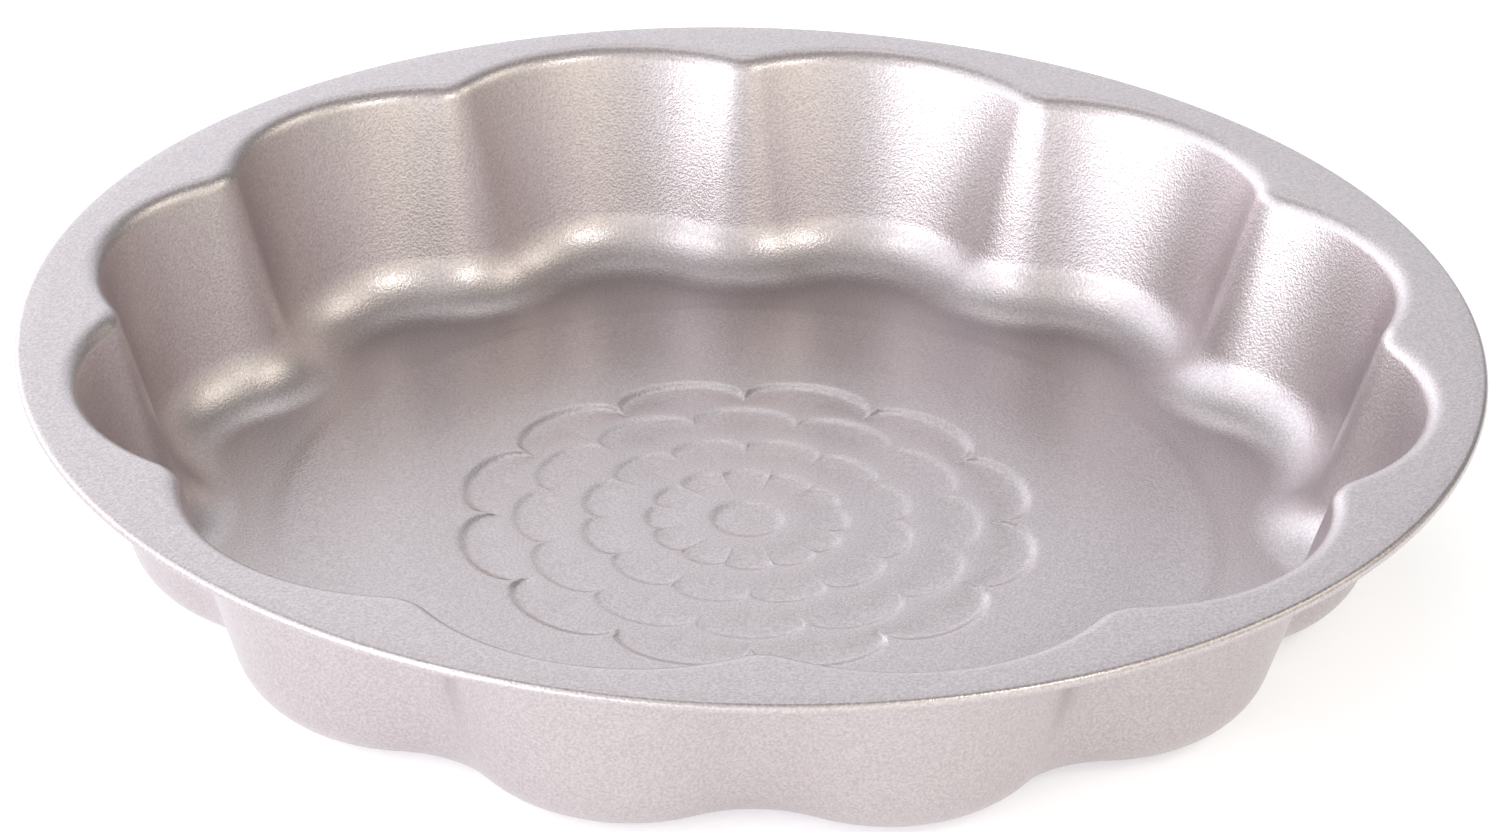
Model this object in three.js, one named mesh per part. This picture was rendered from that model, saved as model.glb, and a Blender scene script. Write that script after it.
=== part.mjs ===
// Round fluted cake pan, drawn from one sheet of coated steel, with a wire rolled into its rim.
// Millimetres, +Z up. The origin lies on the table, under the middle of the pan.
import * as THREE from 'three';

// Opening and flange
const OPENING_RADIUS = 134.5; // to the middle of a lobe, where the wall would meet the flange
const LOBE_COUNT = 12;
const FLUTE_DEPTH = 8.5; // how far the valleys stand in from the lobes
const VALLEY_ARC_RADIUS = 9.5;
const FLANGE_WIDTH = 10.5; // from a lobe to the outside of the rolled edge

// Wall
const PAN_HEIGHT = 46; // table to flange
const SHEET = 0.5; // thickness of the steel
const DRAFT_ANGLE = THREE.MathUtils.degToRad(16); // lean of the wall
const SHOULDER_RADIUS = 4; // rounding from flange to wall
const FLOOR_FILLET = 18; // rounding from wall to floor

// Rolled edge
const WIRE_DIAMETER = 1;
const WIRE_CLEARANCE = 0.15; // all round the wire, inside the roll
const CURL_SWEEP = THREE.MathUtils.degToRad(280); // how far the edge turns round the wire

// Raised panel in the floor
const FLOOR_RING_WIDTH = 1; // flat ring that the pan stands on, at its narrowest
const PANEL_STEP = 0.3; // height of the soft step from that ring up to the panel
const PANEL_STEP_WIDTH = 6;
const TABLE_CLEARANCE = 0.2; // under the deepest point of the relief

// Relief pressed down into the panel: a flower of overlapping round petals
const RELIEF_MARGIN = 32; // panel left round the flower, which rises gently towards it
const RELIEF_BORDER = 3; // level border of the flower, inside that rise
const RELIEF_DEPTH = 0.35; // at the root of a petal
const RELIEF_EDGE = 3.4; // width of the slope round the flower
const PETAL_COUNT = 12; // in each row
const PETAL_ROWS = 4;
const PETAL_NOTCH = 0.12; // notch between two petals, as a share of their radius
const PETAL_RISE = 0.4; // extra depth at the free edge of a petal
const PETAL_STEP_WIDTH = 2.8; // slope from that edge back up to the petals outside it
const HEART_RADIUS = 7; // round middle of the flower

// Steps along the round stretches
const LOBE_STEPS = 6;
const VALLEY_STEPS = 2;
const SHOULDER_STEPS = 3;
const FILLET_STEPS = 5;
const PANEL_STEP_STEPS = 2;
const PANEL_RISE_STEPS = 3;
const CURL_STEPS = 7;
const WIRE_SIDES = 8;
const PETAL_STEPS = 4;

const RING_STEPS = LOBE_COUNT * (LOBE_STEPS + VALLEY_STEPS);

// A sheet of even thickness: every point has an upper and a lower place, and its faces look up
class Sheet {
  constructor() {
    this.upper = [];
    this.lower = [];
    this.faces = [];
  }

  add(upper, lower) {
    this.upper.push(upper);
    return this.lower.push(lower) - 1;
  }

  // Level or gently sloping stretches are as thick as the sheet straight down
  addLevel(x, y, z) {
    return this.add(new THREE.Vector3(x, y, z), new THREE.Vector3(x, y, z - SHEET));
  }

  // Joins two rings of points, the first one outside, with each quad cut along its shorter diagonal
  strip(outer, inner) {
    outer.forEach((a, i) => {
      const next = (i + 1) % outer.length;
      const [b, c, d] = [outer[next], inner[next], inner[i]];
      const [placeA, placeB, placeC, placeD] = [a, b, c, d].map((point) => this.upper[point]);
      const cutFromA = placeA.distanceTo(placeC) < placeB.distanceTo(placeD);
      this.faces.push(...(cutFromA ? [[a, b, c], [a, c, d]] : [[a, b, d], [b, c, d]]));
    });
  }

  // Closes the two faces into one solid along the sheet's free edge
  solid(freeEdge) {
    const count = this.upper.length;
    const index = this.faces.flatMap(([a, b, c]) => [a, b, c, a + count, c + count, b + count]);
    freeEdge.forEach((point, i) => {
      const next = freeEdge[(i + 1) % freeEdge.length];
      index.push(next, point, point + count, next, point + count, next + count);
    });
    const geometry = new THREE.BufferGeometry().setFromPoints([...this.upper, ...this.lower]);
    geometry.setIndex(index);
    geometry.computeVertexNormals();
    return geometry;
  }
}

const lerpSteps = (from, to, steps) =>
  Array.from({ length: steps + 1 }, (_, i) => from + ((to - from) * i) / steps);

// The fluted outline of the opening, as tangent arcs: each point has its place and its outward normal
function flutedOutline() {
  const half = Math.PI / LOBE_COUNT;
  const valleyCentre = OPENING_RADIUS - FLUTE_DEPTH + VALLEY_ARC_RADIUS;
  const valleyX = valleyCentre * Math.cos(half);
  const valleyY = valleyCentre * Math.sin(half);
  const short = valleyX - OPENING_RADIUS;
  const lobeArcRadius =
    (short ** 2 + valleyY ** 2 - VALLEY_ARC_RADIUS ** 2) / (2 * (VALLEY_ARC_RADIUS - short));
  const lobeX = OPENING_RADIUS - lobeArcRadius;
  const turn = Math.atan2(valleyY, valleyX - lobeX);
  const arcPoint = (cx, cy, radius, angle) => ({
    place: new THREE.Vector2(cx + radius * Math.cos(angle), cy + radius * Math.sin(angle)),
    normal: new THREE.Vector2(Math.cos(angle), Math.sin(angle)),
  });
  const halfValley = VALLEY_STEPS / 2;
  const sector = [
    ...lerpSteps(-half, -turn, halfValley).slice(0, -1)
      .map((angle) => arcPoint(valleyX, -valleyY, -VALLEY_ARC_RADIUS, angle)),
    ...lerpSteps(-turn, turn, LOBE_STEPS).map((angle) => arcPoint(lobeX, 0, lobeArcRadius, angle)),
    ...lerpSteps(turn, half, halfValley).slice(1, -1)
      .map((angle) => arcPoint(valleyX, valleyY, -VALLEY_ARC_RADIUS, angle)),
  ];
  const origin = new THREE.Vector2();
  return Array.from({ length: LOBE_COUNT }, (_, lobe) => half * (2 * lobe + 1)).flatMap((angle) =>
    sector.map(({ place, normal }) => ({
      place: place.clone().rotateAround(origin, angle),
      normal: normal.clone().rotateAround(origin, angle),
    })),
  );
}

const outline = flutedOutline();
const curlRadius = WIRE_DIAMETER / 2 + WIRE_CLEARANCE + SHEET; // outside of the rolled edge
const curlCentreRadius = OPENING_RADIUS + FLANGE_WIDTH - curlRadius;
const curlCentreHeight = PAN_HEIGHT - curlRadius;
const bend = Math.PI / 2 - DRAFT_ANGLE; // turn from flange to wall, and from wall to floor
const floorInset = (PAN_HEIGHT - SHEET) * Math.tan(DRAFT_ANGLE) + FLOOR_FILLET * Math.tan(bend / 2);
const panelOuterRadius = OPENING_RADIUS - FLUTE_DEPTH - floorInset - FLOOR_RING_WIDTH;
const panelRadius = panelOuterRadius - PANEL_STEP_WIDTH;
const panelEdgeHeight = SHEET + PANEL_STEP; // upper face of the panel at its edge
const panelHeight = SHEET + RELIEF_DEPTH + PETAL_RISE + TABLE_CLEARANCE; // and round the flower
const reliefReach = panelRadius - RELIEF_MARGIN;

const ringAngles = Array.from({ length: RING_STEPS }, (_, i) => (2 * Math.PI * i) / RING_STEPS);

// A ring of the wall: the fluted outline moved in by inset, with the sheet's lower face behind it
function wallRing(sheet, inset, height, tilt) {
  const lowerInset = inset - SHEET * Math.sin(tilt);
  const lowerHeight = height - SHEET * Math.cos(tilt);
  return outline.map(({ place, normal }) => {
    const upper = place.clone().addScaledVector(normal, -inset);
    const lower = place.clone().addScaledVector(normal, -lowerInset);
    return sheet.add(
      new THREE.Vector3(upper.x, upper.y, height),
      new THREE.Vector3(lower.x, lower.y, lowerHeight),
    );
  });
}

// The rolled edge, from its free end under the flange round to the top
function curlRings(sheet) {
  return lerpSteps(Math.PI / 2 - CURL_SWEEP, Math.PI / 2, CURL_STEPS).map((angle) => {
    const point = (turn, radius) => {
      const reach = curlCentreRadius + radius * Math.cos(angle);
      const height = curlCentreHeight + radius * Math.sin(angle);
      return new THREE.Vector3(reach * Math.cos(turn), reach * Math.sin(turn), height);
    };
    return ringAngles.map((turn) => sheet.add(point(turn, curlRadius), point(turn, curlRadius - SHEET)));
  });
}

// Shoulder, straight wall and fillet down to the floor
function wallRings(sheet) {
  const shoulderInset = -SHOULDER_RADIUS * Math.tan(bend / 2);
  const shoulder = lerpSteps(0, bend, SHOULDER_STEPS).map((tilt) => wallRing(
    sheet,
    shoulderInset + SHOULDER_RADIUS * Math.sin(tilt),
    PAN_HEIGHT - SHOULDER_RADIUS * (1 - Math.cos(tilt)),
    tilt,
  ));
  const fillet = lerpSteps(bend, 0, FILLET_STEPS).map((tilt) => wallRing(
    sheet,
    floorInset - FLOOR_FILLET * Math.sin(tilt),
    SHEET + FLOOR_FILLET * (1 - Math.cos(tilt)),
    tilt,
  ));
  return [...shoulder, ...fillet];
}

// Soft step from the floor up to the panel, then its gentle rise to the border of the flower
function panelRings(sheet) {
  const ease = (from, to, share) => from + ((to - from) * (1 - Math.cos(Math.PI * share))) / 2;
  const ring = (radius, height) => ringAngles.map((turn) =>
    sheet.addLevel(radius * Math.cos(turn), radius * Math.sin(turn), height));
  const step = lerpSteps(0, 1, PANEL_STEP_STEPS).map((share) =>
    ring(panelOuterRadius - PANEL_STEP_WIDTH * share, ease(SHEET, panelEdgeHeight, share)));
  const riseWidth = RELIEF_MARGIN - RELIEF_BORDER;
  const rise = lerpSteps(0, 1, PANEL_RISE_STEPS).slice(1).map((share) =>
    ring(panelRadius - riseWidth * share, ease(panelEdgeHeight, panelHeight, share)));
  return [...step, ...rise];
}

// Where the free edge of a row of petals lies at an angle, and how full the petal is there.
// Rows count from the outside in, and the last one is the round heart.
function petalEdge(row, angle) {
  if (row === PETAL_ROWS) return { radius: HEART_RADIUS, fullness: 1 };
  const shift = row % 2 === 0 ? 0 : 1 / 2;
  const place = (angle / (2 * Math.PI)) * PETAL_COUNT + shift;
  const fromMiddle = 2 * (place - Math.floor(place)) - 1;
  const fullness = Math.sqrt(1 - fromMiddle ** 2);
  const tipRadius = reliefReach - ((reliefReach - HEART_RADIUS) * row) / PETAL_ROWS;
  return { radius: tipRadius * (1 - PETAL_NOTCH * (1 - fullness)), fullness };
}

// The flower: each petal sinks from its root to its free edge, which stands out below the next row
function flowerRings(sheet) {
  const angles = lerpSteps(0, 2 * Math.PI, PETAL_COUNT * PETAL_STEPS).slice(0, -1);
  const ring = (radiusAt, depthAt) => angles.map((angle) => {
    const radius = radiusAt(angle);
    const height = panelHeight - depthAt(angle);
    return sheet.addLevel(radius * Math.cos(angle), radius * Math.sin(angle), height);
  });
  const edgeRadius = (row, move) => (angle) => petalEdge(row, angle).radius + move;
  const depth = (row, share) => (angle) =>
    RELIEF_DEPTH + (PETAL_RISE * share * (1 + 2 * petalEdge(row, angle).fullness)) / 3;
  const freeEdge = (row) => edgeRadius(row, row === 0 ? -RELIEF_EDGE : -PETAL_STEP_WIDTH / 2);
  const rings = [ring(edgeRadius(0, 0), () => 0), ring(freeEdge(0), depth(0, 1))];
  for (let row = 1; row <= PETAL_ROWS; row += 1) {
    const tip = freeEdge(row - 1);
    const root = edgeRadius(row, PETAL_STEP_WIDTH / 2);
    rings.push(ring((angle) => (tip(angle) + root(angle)) / 2, depth(row - 1, 1 / 2)));
    rings.push(ring(root, () => RELIEF_DEPTH));
    rings.push(ring(freeEdge(row), depth(row, 1)));
  }
  return rings;
}

// Level border between the panel's last ring and the outline of the flower
function fillPanel(sheet, edge, hole) {
  const flat = (loop) => loop.map((i) => new THREE.Vector2(sheet.upper[i].x, sheet.upper[i].y));
  const points = [...edge, ...hole];
  THREE.ShapeUtils.triangulateShape(flat(edge), [flat(hole)]).forEach((corners) => {
    const face = corners.map((corner) => points[corner]);
    sheet.faces.push(THREE.ShapeUtils.isClockWise(flat(face)) ? face.reverse() : face);
  });
}

function panShell() {
  const sheet = new Sheet();
  const rings = [...curlRings(sheet), ...wallRings(sheet), ...panelRings(sheet)];
  rings.slice(1).forEach((ring, i) => sheet.strip(rings[i], ring));
  const flower = flowerRings(sheet);
  flower.slice(1).forEach((ring, i) => sheet.strip(flower[i], ring));
  const heart = flower[flower.length - 1];
  const middle = sheet.addLevel(0, 0, panelHeight - RELIEF_DEPTH - PETAL_RISE);
  heart.forEach((point, i) => sheet.faces.push([point, heart[(i + 1) % heart.length], middle]));
  fillPanel(sheet, rings[rings.length - 1], flower[0]);
  const coating = new THREE.MeshStandardMaterial({ color: 0xc8bdb8, roughness: 0.38, metalness: 0.9 });
  const mesh = new THREE.Mesh(sheet.solid(rings[0]), coating);
  mesh.name = 'pan_shell';
  return mesh;
}

function rimWire() {
  const ring = new THREE.TorusGeometry(curlCentreRadius, WIRE_DIAMETER / 2, WIRE_SIDES, RING_STEPS);
  const steel = new THREE.MeshStandardMaterial({ color: 0x8f9194, roughness: 0.45, metalness: 1 });
  const mesh = new THREE.Mesh(ring, steel);
  mesh.name = 'rim_wire';
  mesh.position.z = curlCentreHeight;
  return mesh;
}

const pan = new THREE.Group();
pan.add(panShell(), rimWire());
export default pan;
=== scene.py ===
# Looks of a round fluted cake pan of coated pressed steel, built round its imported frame. Metres, +Z up.
import math

import bpy
import numpy as np
from mathutils import Matrix, Vector


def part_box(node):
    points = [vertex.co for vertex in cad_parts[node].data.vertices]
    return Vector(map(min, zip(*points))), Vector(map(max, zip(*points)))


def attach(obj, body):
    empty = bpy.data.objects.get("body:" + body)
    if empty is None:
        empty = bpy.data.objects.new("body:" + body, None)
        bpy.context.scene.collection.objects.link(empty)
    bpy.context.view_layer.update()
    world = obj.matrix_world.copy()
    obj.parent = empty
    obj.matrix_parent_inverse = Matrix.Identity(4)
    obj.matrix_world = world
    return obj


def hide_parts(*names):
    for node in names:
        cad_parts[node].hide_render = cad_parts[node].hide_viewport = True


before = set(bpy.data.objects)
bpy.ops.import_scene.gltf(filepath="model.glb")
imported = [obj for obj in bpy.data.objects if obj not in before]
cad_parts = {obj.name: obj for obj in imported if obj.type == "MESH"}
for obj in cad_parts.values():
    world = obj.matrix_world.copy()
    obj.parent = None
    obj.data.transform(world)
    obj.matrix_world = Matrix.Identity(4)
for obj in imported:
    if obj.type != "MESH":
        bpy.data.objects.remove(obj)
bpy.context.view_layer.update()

MM = 0.001

# Sizes of the pan: the rim and the height come from the frame, the others are chosen here
shell_low, shell_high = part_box("pan_shell")
RIM_RADIUS = shell_high.x
PAN_HEIGHT = shell_high.z
LOBE_COUNT = 12
FLANGE_WIDTH = 10.5 * MM
FLUTE_DEPTH = 8.5 * MM
VALLEY_ARC_RADIUS = 9.5 * MM
SHEET = 0.5 * MM
DRAFT_ANGLE = math.radians(16)
SHOULDER_RADIUS = 4 * MM
CURL_RADIUS = 1.15 * MM
CURL_SWEEP = math.radians(280)
# Tighter than the plain solid's, with a wider flat ring, so the panel keeps its place
FLOOR_FILLET = 14.5 * MM
FLOOR_RING_WIDTH = 3.6 * MM
PANEL_STEP = 0.2 * MM
PANEL_STEP_WIDTH = 6 * MM
TABLE_CLEARANCE = 0.2 * MM

# Flower pressed into the floor
RELIEF_MARGIN = 32 * MM
RELIEF_BORDER = 3 * MM
RELIEF_DEPTH = 0.35 * MM
RELIEF_EDGE = 3.4 * MM
PETAL_COUNT = 12
PETAL_ROWS = 4
PETAL_NOTCH = 0.12
PETAL_RISE = 0.4 * MM
PETAL_SIDE_SHARE = 1 / 3
PETAL_STEP_WIDTH = 2.8 * MM
HEART_RADIUS = 7 * MM

# Steps along the round stretches of the fine mesh
LOBE_STEPS = 24
VALLEY_STEPS = 12
CURL_STEPS = 24
FLANGE_STEPS = 4
SHOULDER_STEPS = 12
WALL_STEPS = 6
FILLET_STEPS = 20
FLOOR_STEPS = 3
PANEL_STEP_STEPS = 12
PANEL_RISE_STEPS = 12
BORDER_STEPS = 2
PETAL_STEPS = 8
EDGE_STEPS = 6
HEART_STEPS = 6

# Photograph's view: lens, and place of the camera from the middle of the rim
FRAME_WIDTH_PX = 1500
SENSOR_WIDTH = 36.0
FOCAL_PX = 4905
CAMERA_DISTANCE = 6.706 * RIM_RADIUS
CAMERA_ELEVATION = math.radians(27.15)
CAMERA_AZIMUTH = math.radians(-1.6)
CAMERA_ROLL = math.radians(1.62)
AIM_DOWN = math.radians(1.11)

# Coating: a grain that goes from dark to light over a range of its noise
GRAINS_PER_METRE = 1900
GRAIN_DETAIL = 1.0
GRAIN_HEIGHT = 0.22 * MM
GRAIN_STRENGTH = 0.32
DARK_GRAIN = (0.46, 0.414, 0.42, 1)
LIGHT_GRAIN = (0.6, 0.54, 0.549, 1)
GRAIN_RANGE = (0.3, 0.7)
COATING_ROUGHNESS = 0.32

# Wire: plain steel with an uneven sheen
STEEL = (0.45, 0.46, 0.47, 1)
SHEEN_PATCHES_PER_METRE = 900
WIRE_ROUGHNESS = (0.3, 0.55)

# Floor: an even faint glow keeps it white; the glow is weaker on the right than on the left, as painted
# shade on the right of the pan
FLOOR_REACH = 15.0
FLOOR_GAP = 0.2 * MM
FLOOR_PAINT = (0.9, 0.9, 0.9, 1)
FLOOR_ROUGHNESS = 0.8
FLOOR_SHEEN = 0.1
# Glow strength on the left and on the right; the drop to the right is painted shade
FLOOR_GLOW_AND_PAINTED_SHADE = (0.45, 0.32)
FLOOR_GLOW_COLOUR = (0.95, 0.96, 1, 1)

# Colours and strength of the light
AMBIENT = 0.07
AMBIENT_COLOUR = (1.0, 0.95, 0.9, 1)
DAYLIGHT = (0.91, 0.95, 1.0)
WHITE = (1.0, 1.0, 1.0)
PALE = (0.98, 1.0, 0.95)
WARM = (1.0, 0.97, 0.86)

# Glows: azimuth, elevation and spread in degrees, strength, colour
GLOWS = (
    (-70, 4, 11, 3.9, DAYLIGHT),
    (-51, 4, 11, 5.2, DAYLIGHT),
    (-32, 4, 11, 3.1, DAYLIGHT),
    (-10, 10, 14, 1.0, DAYLIGHT),
    (28, 10, 22, 1.6, WARM),
    (90, 10, 26, 0.72, WARM),
    (-115, 10, 24, 2.2, DAYLIGHT),
    (-148, 8, 20, 1.15, DAYLIGHT),
    (0, 48, 15, 0.5, WHITE),
    (70, 40, 13, 0.55, WARM),
    (102, 38, 8, 2.2, WARM),
    (-50, 43, 15, 1.25, WHITE),
    (-88, 40, 16, 0.85, DAYLIGHT),
    (172, 19, 15, 1.1, DAYLIGHT),
    (202, 22, 9, 0.95, DAYLIGHT),
    (180, 60, 11, 1.4, WHITE),
    (0, 80, 24, 0.4, WHITE),
)

# Lamps: name, azimuth and elevation in degrees, width in metres, power in watts, colour
LAMP_DISTANCE = 1.5
LAMPS = (
    ("left_lamp", -50, 45, 0.42, 1.0, DAYLIGHT),
    ("right_lamp", 46, 44, 0.42, 2.2, PALE),
)

# Sizes that follow from the ones above
OPENING_RADIUS = RIM_RADIUS - FLANGE_WIDTH
CURL_CENTRE_RADIUS = RIM_RADIUS - CURL_RADIUS
CURL_CENTRE_HEIGHT = PAN_HEIGHT - CURL_RADIUS
BEND = math.pi / 2 - DRAFT_ANGLE
FLOOR_INSET = (PAN_HEIGHT - SHEET) * math.tan(DRAFT_ANGLE) + FLOOR_FILLET * math.tan(BEND / 2)
PANEL_OUTER_RADIUS = OPENING_RADIUS - FLUTE_DEPTH - FLOOR_INSET - FLOOR_RING_WIDTH
PANEL_RADIUS = PANEL_OUTER_RADIUS - PANEL_STEP_WIDTH
PANEL_EDGE_HEIGHT = SHEET + PANEL_STEP
PANEL_HEIGHT = SHEET + RELIEF_DEPTH + PETAL_RISE + TABLE_CLEARANCE
RELIEF_REACH = PANEL_RADIUS - RELIEF_MARGIN
RING_STEPS = LOBE_COUNT * (LOBE_STEPS + VALLEY_STEPS)
RING_ANGLES = np.arange(RING_STEPS) * 2 * math.pi / RING_STEPS


def smooth(share):
    """Eases from 0 to 1 with level, unbent ends."""
    return share**3 * (share * (share * 6 - 15) + 10)


def fluted_outline():
    """Points of the opening's outline and its outward normals: lobes and valleys are tangent arcs."""
    half = math.pi / LOBE_COUNT
    valley_centre = OPENING_RADIUS - FLUTE_DEPTH + VALLEY_ARC_RADIUS
    valley_x = valley_centre * math.cos(half)
    valley_y = valley_centre * math.sin(half)
    past_opening = valley_x - OPENING_RADIUS
    across = past_opening**2 + valley_y**2 - VALLEY_ARC_RADIUS**2
    lobe_arc = across / (2 * (VALLEY_ARC_RADIUS - past_opening))
    lobe_x = OPENING_RADIUS - lobe_arc
    turn = math.atan2(valley_y, valley_x - lobe_x)
    half_valley = VALLEY_STEPS // 2
    arcs = (
        (valley_x, -valley_y, -VALLEY_ARC_RADIUS, np.linspace(-half, -turn, half_valley + 1)[:-1]),
        (lobe_x, 0.0, lobe_arc, np.linspace(-turn, turn, LOBE_STEPS + 1)[:-1]),
        (valley_x, valley_y, -VALLEY_ARC_RADIUS, np.linspace(turn, half, half_valley + 1)[:-1]),
    )
    places, normals = [], []
    for lobe in range(LOBE_COUNT):
        heading = half * (2 * lobe + 1)
        ahead, aside = math.cos(heading), math.sin(heading)
        to_lobe = np.array([[ahead, aside], [-aside, ahead]])
        for centre_x, centre_y, radius, angles in arcs:
            normal = np.stack([np.cos(angles), np.sin(angles)], axis=1)
            place = np.array([centre_x, centre_y]) + radius * normal
            places.append(place @ to_lobe)
            normals.append(normal @ to_lobe)
    return np.concatenate(places), np.concatenate(normals)


OUTLINE, OUTLINE_NORMALS = fluted_outline()


def at_height(flat, height):
    """Places in the plane, lifted to a height."""
    return np.column_stack([flat, np.broadcast_to(height, len(flat))])


def round_ring(radius, height):
    """A ring of places; radius and height may change round it."""
    flat = np.column_stack([np.cos(RING_ANGLES), np.sin(RING_ANGLES)])
    return at_height(flat * np.broadcast_to(radius, RING_STEPS)[:, None], height)


def wall_row(inset, height, tilt):
    """Upper and lower face of the sheet on the fluted wall."""
    lower_inset = inset - SHEET * math.sin(tilt)
    upper = at_height(OUTLINE - OUTLINE_NORMALS * inset, height)
    lower = at_height(OUTLINE - OUTLINE_NORMALS * lower_inset, height - SHEET * math.cos(tilt))
    return upper, lower


def level_row(upper):
    """Upper and lower face of the sheet where it lies nearly level."""
    return upper, upper - np.array([0, 0, SHEET])


def between(row, next_row, steps):
    """Rows that lie evenly between two rows, without the two."""
    return [
        tuple(near + (far - near) * step / steps for near, far in zip(row, next_row))
        for step in range(1, steps)
    ]


def curl_rows():
    """The rolled edge, from its free end under the flange round to the top."""
    rows = []
    for angle in np.linspace(math.pi / 2 - CURL_SWEEP, math.pi / 2, CURL_STEPS + 1):
        row = []
        for radius in (CURL_RADIUS, CURL_RADIUS - SHEET):
            reach = CURL_CENTRE_RADIUS + radius * math.cos(angle)
            row.append(round_ring(reach, CURL_CENTRE_HEIGHT + radius * math.sin(angle)))
        rows.append(tuple(row))
    return rows


def wall_rows():
    """Shoulder, straight wall and fillet down to the floor."""
    shoulder_inset = -SHOULDER_RADIUS * math.tan(BEND / 2)
    shoulder = [
        wall_row(
            shoulder_inset + SHOULDER_RADIUS * math.sin(tilt),
            PAN_HEIGHT - SHOULDER_RADIUS * (1 - math.cos(tilt)),
            tilt,
        )
        for tilt in np.linspace(0, BEND, SHOULDER_STEPS + 1)
    ]
    fillet = [
        wall_row(
            FLOOR_INSET - FLOOR_FILLET * math.sin(tilt),
            SHEET + FLOOR_FILLET * (1 - math.cos(tilt)),
            tilt,
        )
        for tilt in np.linspace(BEND, 0, FILLET_STEPS + 1)
    ]
    return shoulder + between(shoulder[-1], fillet[0], WALL_STEPS) + fillet


def panel_rows():
    """Soft step from the floor up to the panel, then its gentle rise to the flower's border."""
    rows = []
    for share in np.linspace(0, 1, PANEL_STEP_STEPS + 1):
        radius = PANEL_OUTER_RADIUS - PANEL_STEP_WIDTH * share
        rows.append(level_row(round_ring(radius, SHEET + PANEL_STEP * smooth(share))))
    for share in np.linspace(0, 1, PANEL_RISE_STEPS + 1)[1:]:
        radius = PANEL_RADIUS - (RELIEF_MARGIN - RELIEF_BORDER) * share
        rise = (PANEL_HEIGHT - PANEL_EDGE_HEIGHT) * smooth(share)
        rows.append(level_row(round_ring(radius, PANEL_EDGE_HEIGHT + rise)))
    return rows


def petal_edge(row):
    """Radius of a row of petals' free edge round the ring, and how full the petals are there."""
    if row == PETAL_ROWS:
        return np.full(RING_STEPS, HEART_RADIUS), np.ones(RING_STEPS)
    half_turned = row % 2 / 2
    place = RING_ANGLES / (2 * math.pi) * PETAL_COUNT + half_turned
    from_middle = 2 * (place - np.floor(place)) - 1
    fullness = np.sqrt(1 - from_middle**2)
    tip_radius = RELIEF_REACH - (RELIEF_REACH - HEART_RADIUS) * row / PETAL_ROWS
    return tip_radius * (1 - PETAL_NOTCH * (1 - fullness)), fullness


def flower_rows():
    """The flower: each petal sinks from its root to its free edge."""
    def sunk(radius, depth):
        return level_row(round_ring(radius, PANEL_HEIGHT - depth))

    def edge_depth(fullness):
        return RELIEF_DEPTH + PETAL_RISE * (PETAL_SIDE_SHARE + (1 - PETAL_SIDE_SHARE) * fullness)

    radius, fullness = petal_edge(0)
    rows = [
        sunk(radius - RELIEF_EDGE * share, edge_depth(fullness) * smooth(share))
        for share in np.linspace(0, 1, EDGE_STEPS + 1)
    ]
    outer_radius = radius - RELIEF_EDGE
    for row in range(1, PETAL_ROWS + 1):
        radius, next_fullness = petal_edge(row)
        root_radius = radius + PETAL_STEP_WIDTH / 2
        for share in np.linspace(0, 1, PETAL_STEPS + 1)[1:]:
            depth = RELIEF_DEPTH + (edge_depth(fullness) - RELIEF_DEPTH) * smooth(1 - share)
            rows.append(sunk(outer_radius + (root_radius - outer_radius) * share, depth))
        for share in np.linspace(0, 1, EDGE_STEPS + 1)[1:]:
            depth = RELIEF_DEPTH + (edge_depth(next_fullness) - RELIEF_DEPTH) * smooth(share)
            rows.append(sunk(root_radius - PETAL_STEP_WIDTH * share, depth))
        fullness = next_fullness
        outer_radius = radius - PETAL_STEP_WIDTH / 2
    for share in np.linspace(0, 1, HEART_STEPS + 1)[1:-1]:
        rows.append(sunk(outer_radius * (1 - share), edge_depth(fullness)))
    return rows


def sheet_mesh(name, rows, middle):
    """Closed mesh of a sheet from its rows, a middle point and the strip along its free edge."""
    count = len(rows) * RING_STEPS + 1
    ring = np.arange(RING_STEPS)
    following = np.roll(ring, -1)
    starts = np.arange(len(rows) - 1)[:, None] * RING_STEPS
    upper_quads = np.stack(
        [starts + ring, starts + following, starts + RING_STEPS + following, starts + RING_STEPS + ring],
        axis=2,
    ).reshape(-1, 4)
    edge_quads = np.stack([following, ring, ring + count, following + count], axis=1)
    last = (len(rows) - 1) * RING_STEPS
    upper_fan = np.stack([last + ring, last + following, np.full(RING_STEPS, count - 1)], axis=1)
    faces = [*upper_quads, *(upper_quads[:, ::-1] + count), *edge_quads]
    faces += [*upper_fan, *(upper_fan[:, ::-1] + count)]
    upper = np.concatenate([row[0] for row in rows] + [middle[0]])
    lower = np.concatenate([row[1] for row in rows] + [middle[1]])
    mesh = bpy.data.meshes.new(name)
    mesh.from_pydata(np.concatenate([upper, lower]).tolist(), [], [face.tolist() for face in faces])
    mesh.validate()
    mesh.shade_smooth()
    return mesh


def pan_rows():
    """All rows of the sheet, from the free end of the rolled edge to the flower's heart."""
    curl, wall, panel, flower = curl_rows(), wall_rows(), panel_rows(), flower_rows()
    return (
        curl
        + between(curl[-1], wall[0], FLANGE_STEPS)
        + wall
        + between(wall[-1], panel[0], FLOOR_STEPS)
        + panel
        + between(panel[-1], flower[0], BORDER_STEPS)
        + flower
    )


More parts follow.
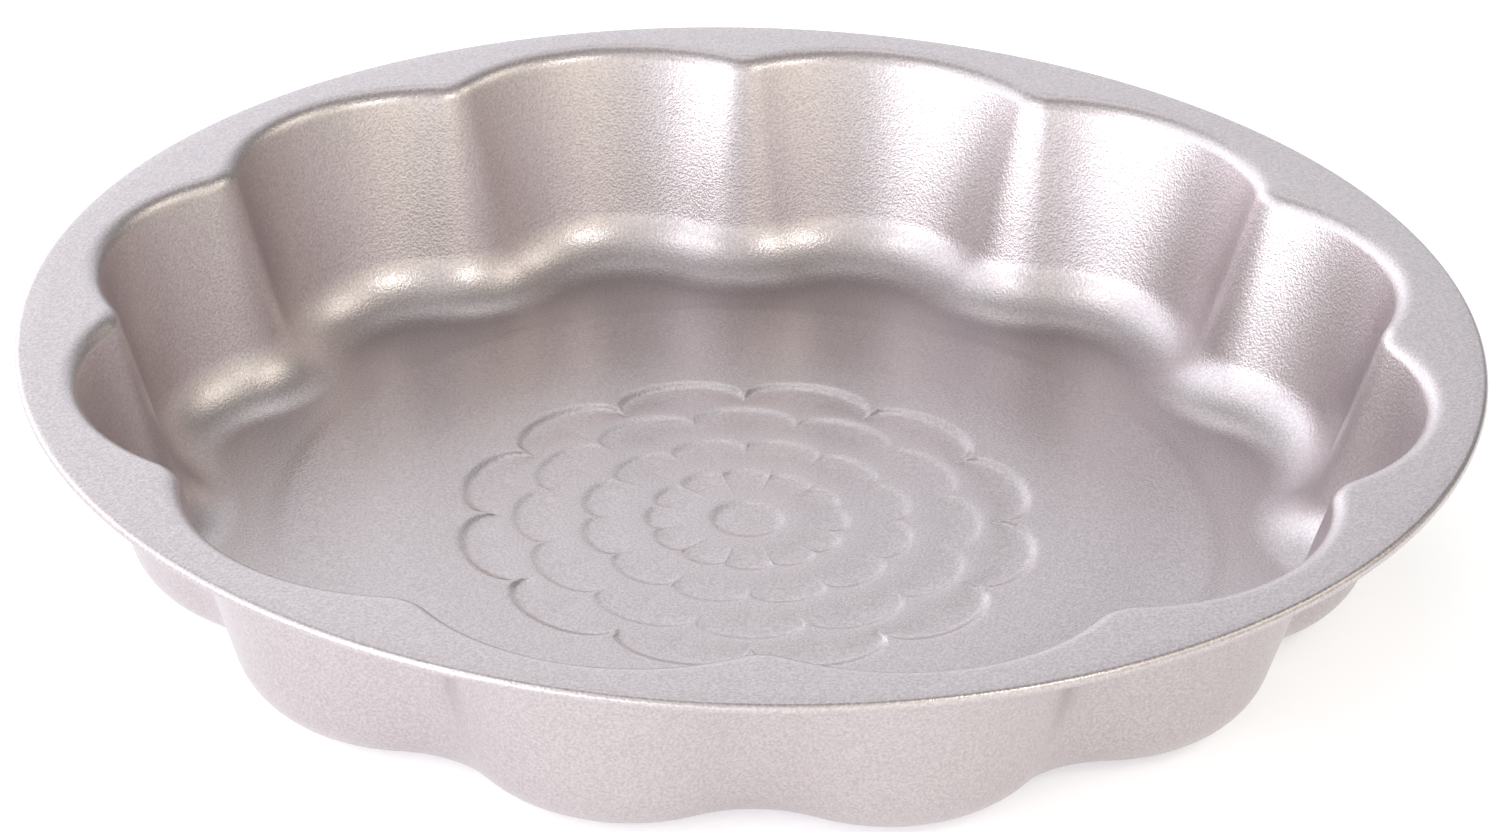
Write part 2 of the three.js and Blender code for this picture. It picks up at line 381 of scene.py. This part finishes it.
def coating_material():
    """Champagne-silver non-stick coating: satin metal with a fine metallic grain."""
    material = bpy.data.materials.new("coated_sheet")
    material.use_nodes = True
    nodes, links = material.node_tree.nodes, material.node_tree.links
    shader = nodes["Principled BSDF"]
    shader.inputs["Metallic"].default_value = 1.0
    shader.inputs["Roughness"].default_value = COATING_ROUGHNESS
    place = nodes.new("ShaderNodeTexCoord")
    grain = nodes.new("ShaderNodeTexNoise")
    grain.inputs["Scale"].default_value = GRAINS_PER_METRE
    grain.inputs["Detail"].default_value = GRAIN_DETAIL
    links.new(place.outputs["Object"], grain.inputs["Vector"])
    tone = nodes.new("ShaderNodeValToRGB")
    for element, share, colour in zip(tone.color_ramp.elements, GRAIN_RANGE, (DARK_GRAIN, LIGHT_GRAIN)):
        element.position = share
        element.color = colour
    links.new(grain.outputs["Fac"], tone.inputs["Fac"])
    links.new(tone.outputs["Color"], shader.inputs["Base Color"])
    bumps = nodes.new("ShaderNodeBump")
    bumps.inputs["Strength"].default_value = GRAIN_STRENGTH
    bumps.inputs["Distance"].default_value = GRAIN_HEIGHT
    links.new(grain.outputs["Fac"], bumps.inputs["Height"])
    links.new(bumps.outputs["Normal"], shader.inputs["Normal"])
    return material


def wire_material():
    """Drawn steel wire with an uneven sheen."""
    material = bpy.data.materials.new("wire")
    material.use_nodes = True
    nodes, links = material.node_tree.nodes, material.node_tree.links
    shader = nodes["Principled BSDF"]
    shader.inputs["Metallic"].default_value = 1.0
    shader.inputs["Base Color"].default_value = STEEL
    place = nodes.new("ShaderNodeTexCoord")
    patches = nodes.new("ShaderNodeTexNoise")
    patches.inputs["Scale"].default_value = SHEEN_PATCHES_PER_METRE
    links.new(place.outputs["Object"], patches.inputs["Vector"])
    sheen = nodes.new("ShaderNodeMapRange")
    sheen.inputs["To Min"].default_value, sheen.inputs["To Max"].default_value = WIRE_ROUGHNESS
    links.new(patches.outputs["Fac"], sheen.inputs["Value"])
    links.new(sheen.outputs["Result"], shader.inputs["Roughness"])
    return material


def make_pan():
    """The visible pan sheet, in place of its plainer solid."""
    rows = pan_rows()
    heart_height = PANEL_HEIGHT - RELIEF_DEPTH - PETAL_RISE
    middle = level_row(np.array([[0, 0, heart_height]]))
    pan = bpy.data.objects.new("pan_sheet", sheet_mesh("pan_sheet", rows, middle))
    bpy.context.scene.collection.objects.link(pan)
    pan.data.materials.append(coating_material())
    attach(pan, "root")
    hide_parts("pan_shell")


def dress_wire():
    """The wire in the rolled edge keeps its solid and gets its steel."""
    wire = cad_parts["rim_wire"]
    steel = wire_material()
    if wire.material_slots:
        wire.material_slots[0].material = steel
    else:
        wire.data.materials.append(steel)


def make_camera():
    """Camera at the photograph's viewing angle."""
    data = bpy.data.cameras.new("photo_view")
    data.sensor_width = SENSOR_WIDTH
    data.lens = FOCAL_PX / FRAME_WIDTH_PX * SENSOR_WIDTH
    camera = bpy.data.objects.new("photo_view", data)
    bpy.context.scene.collection.objects.link(camera)
    away = Vector((
        math.sin(CAMERA_AZIMUTH) * math.cos(CAMERA_ELEVATION),
        -math.cos(CAMERA_AZIMUTH) * math.cos(CAMERA_ELEVATION),
        math.sin(CAMERA_ELEVATION),
    ))
    right = away.cross(Vector((0, 0, 1))).normalized() * -1
    up = away.cross(right)
    looking = (-away - up * math.tan(AIM_DOWN)).normalized()
    up = right.cross(looking)
    turned_right = right * math.cos(CAMERA_ROLL) + up * math.sin(CAMERA_ROLL)
    turned_up = turned_right.cross(looking)
    turn = Matrix((turned_right, turned_up, -looking)).transposed().to_4x4()
    rim_middle = Vector((0, 0, PAN_HEIGHT))
    camera.matrix_world = Matrix.Translation(rim_middle + away * CAMERA_DISTANCE) @ turn
    bpy.context.scene.camera = camera


def towards(azimuth, elevation):
    """Direction in degrees: azimuth 0 is the camera's side, 90 is to its right."""
    turn, lift = math.radians(azimuth), math.radians(elevation)
    return Vector((math.sin(turn) * math.cos(lift), -math.cos(turn) * math.cos(lift), math.sin(lift)))


def make_lamp(name, azimuth, elevation, width, power, colour):
    """A round area light that looks at the pan."""
    data = bpy.data.lights.new(name, "AREA")
    data.shape = "DISK"
    data.size = width
    data.energy = power
    data.color = colour
    light = bpy.data.objects.new(name, data)
    bpy.context.scene.collection.objects.link(light)
    away = towards(azimuth, elevation)
    light.location = away * LAMP_DISTANCE
    light.rotation_euler = away.to_track_quat("Z", "Y").to_euler()


def add_glow(world, surface, azimuth, elevation, spread, strength, colour):
    """Adds a soft round glow to the surroundings, brightest in one direction."""
    nodes, links = world.node_tree.nodes, world.node_tree.links
    place = nodes.new("ShaderNodeTexCoord")
    along = nodes.new("ShaderNodeVectorMath")
    along.operation = "DOT_PRODUCT"
    along.inputs[1].default_value = towards(azimuth, elevation)
    links.new(place.outputs["Generated"], along.inputs[0])
    steepness = 1 / math.radians(spread) ** 2
    fall = nodes.new("ShaderNodeMath")
    fall.operation = "MULTIPLY_ADD"
    fall.inputs[1].default_value = steepness
    fall.inputs[2].default_value = math.log(strength) - steepness
    links.new(along.outputs["Value"], fall.inputs[0])
    bell = nodes.new("ShaderNodeMath")
    bell.operation = "EXPONENT"
    links.new(fall.outputs[0], bell.inputs[0])
    glow = nodes.new("ShaderNodeBackground")
    glow.inputs["Color"].default_value = (*colour, 1)
    links.new(bell.outputs[0], glow.inputs["Strength"])
    both = nodes.new("ShaderNodeAddShader")
    links.new(surface, both.inputs[0])
    links.new(glow.outputs[0], both.inputs[1])
    return both.outputs[0]


def make_floor():
    """A white floor that glows faintly, with painted shade: its glow is weaker on the right than on the
    left.
    """
    height = shell_low.z - FLOOR_GAP
    sides = ((-1, -1), (1, -1), (1, 1), (-1, 1))
    corners = [(x * FLOOR_REACH, y * FLOOR_REACH, height) for x, y in sides]
    mesh = bpy.data.meshes.new("floor")
    mesh.from_pydata(corners, [], [range(len(corners))])
    floor = bpy.data.objects.new("floor", mesh)
    bpy.context.scene.collection.objects.link(floor)
    paint = bpy.data.materials.new("floor")
    paint.use_nodes = True
    nodes, links = paint.node_tree.nodes, paint.node_tree.links
    shader = nodes["Principled BSDF"]
    shader.inputs["Base Color"].default_value = FLOOR_PAINT
    shader.inputs["Roughness"].default_value = FLOOR_ROUGHNESS
    shader.inputs["Specular IOR Level"].default_value = FLOOR_SHEEN
    shader.inputs["Emission Color"].default_value = FLOOR_GLOW_COLOUR
    place = nodes.new("ShaderNodeTexCoord")
    across = nodes.new("ShaderNodeSeparateXYZ")
    links.new(place.outputs["Object"], across.inputs[0])
    # Painted shade: the floor's glow fades from the left of the pan to the right
    glow = nodes.new("ShaderNodeMapRange")
    glow.inputs["From Min"].default_value = -RIM_RADIUS
    glow.inputs["From Max"].default_value = RIM_RADIUS
    glow.inputs["To Min"].default_value, glow.inputs["To Max"].default_value = FLOOR_GLOW_AND_PAINTED_SHADE
    links.new(across.outputs["X"], glow.inputs["Value"])
    links.new(glow.outputs["Result"], shader.inputs["Emission Strength"])
    mesh.materials.append(paint)


def make_light():
    """Dim surroundings with broad soft glows, and the lamps."""
    world = bpy.data.worlds.new("studio")
    bpy.context.scene.world = world
    world.use_nodes = True
    nodes, links = world.node_tree.nodes, world.node_tree.links
    ambient = nodes["Background"]
    ambient.inputs["Color"].default_value = AMBIENT_COLOUR
    ambient.inputs["Strength"].default_value = AMBIENT
    surface = ambient.outputs[0]
    for glow in GLOWS:
        surface = add_glow(world, surface, *glow)
    links.new(surface, nodes["World Output"].inputs["Surface"])
    for lamp in LAMPS:
        make_lamp(*lamp)
    bpy.context.scene.view_settings.view_transform = "Standard"


make_camera()
make_floor()
make_light()
make_pan()
dress_wire()
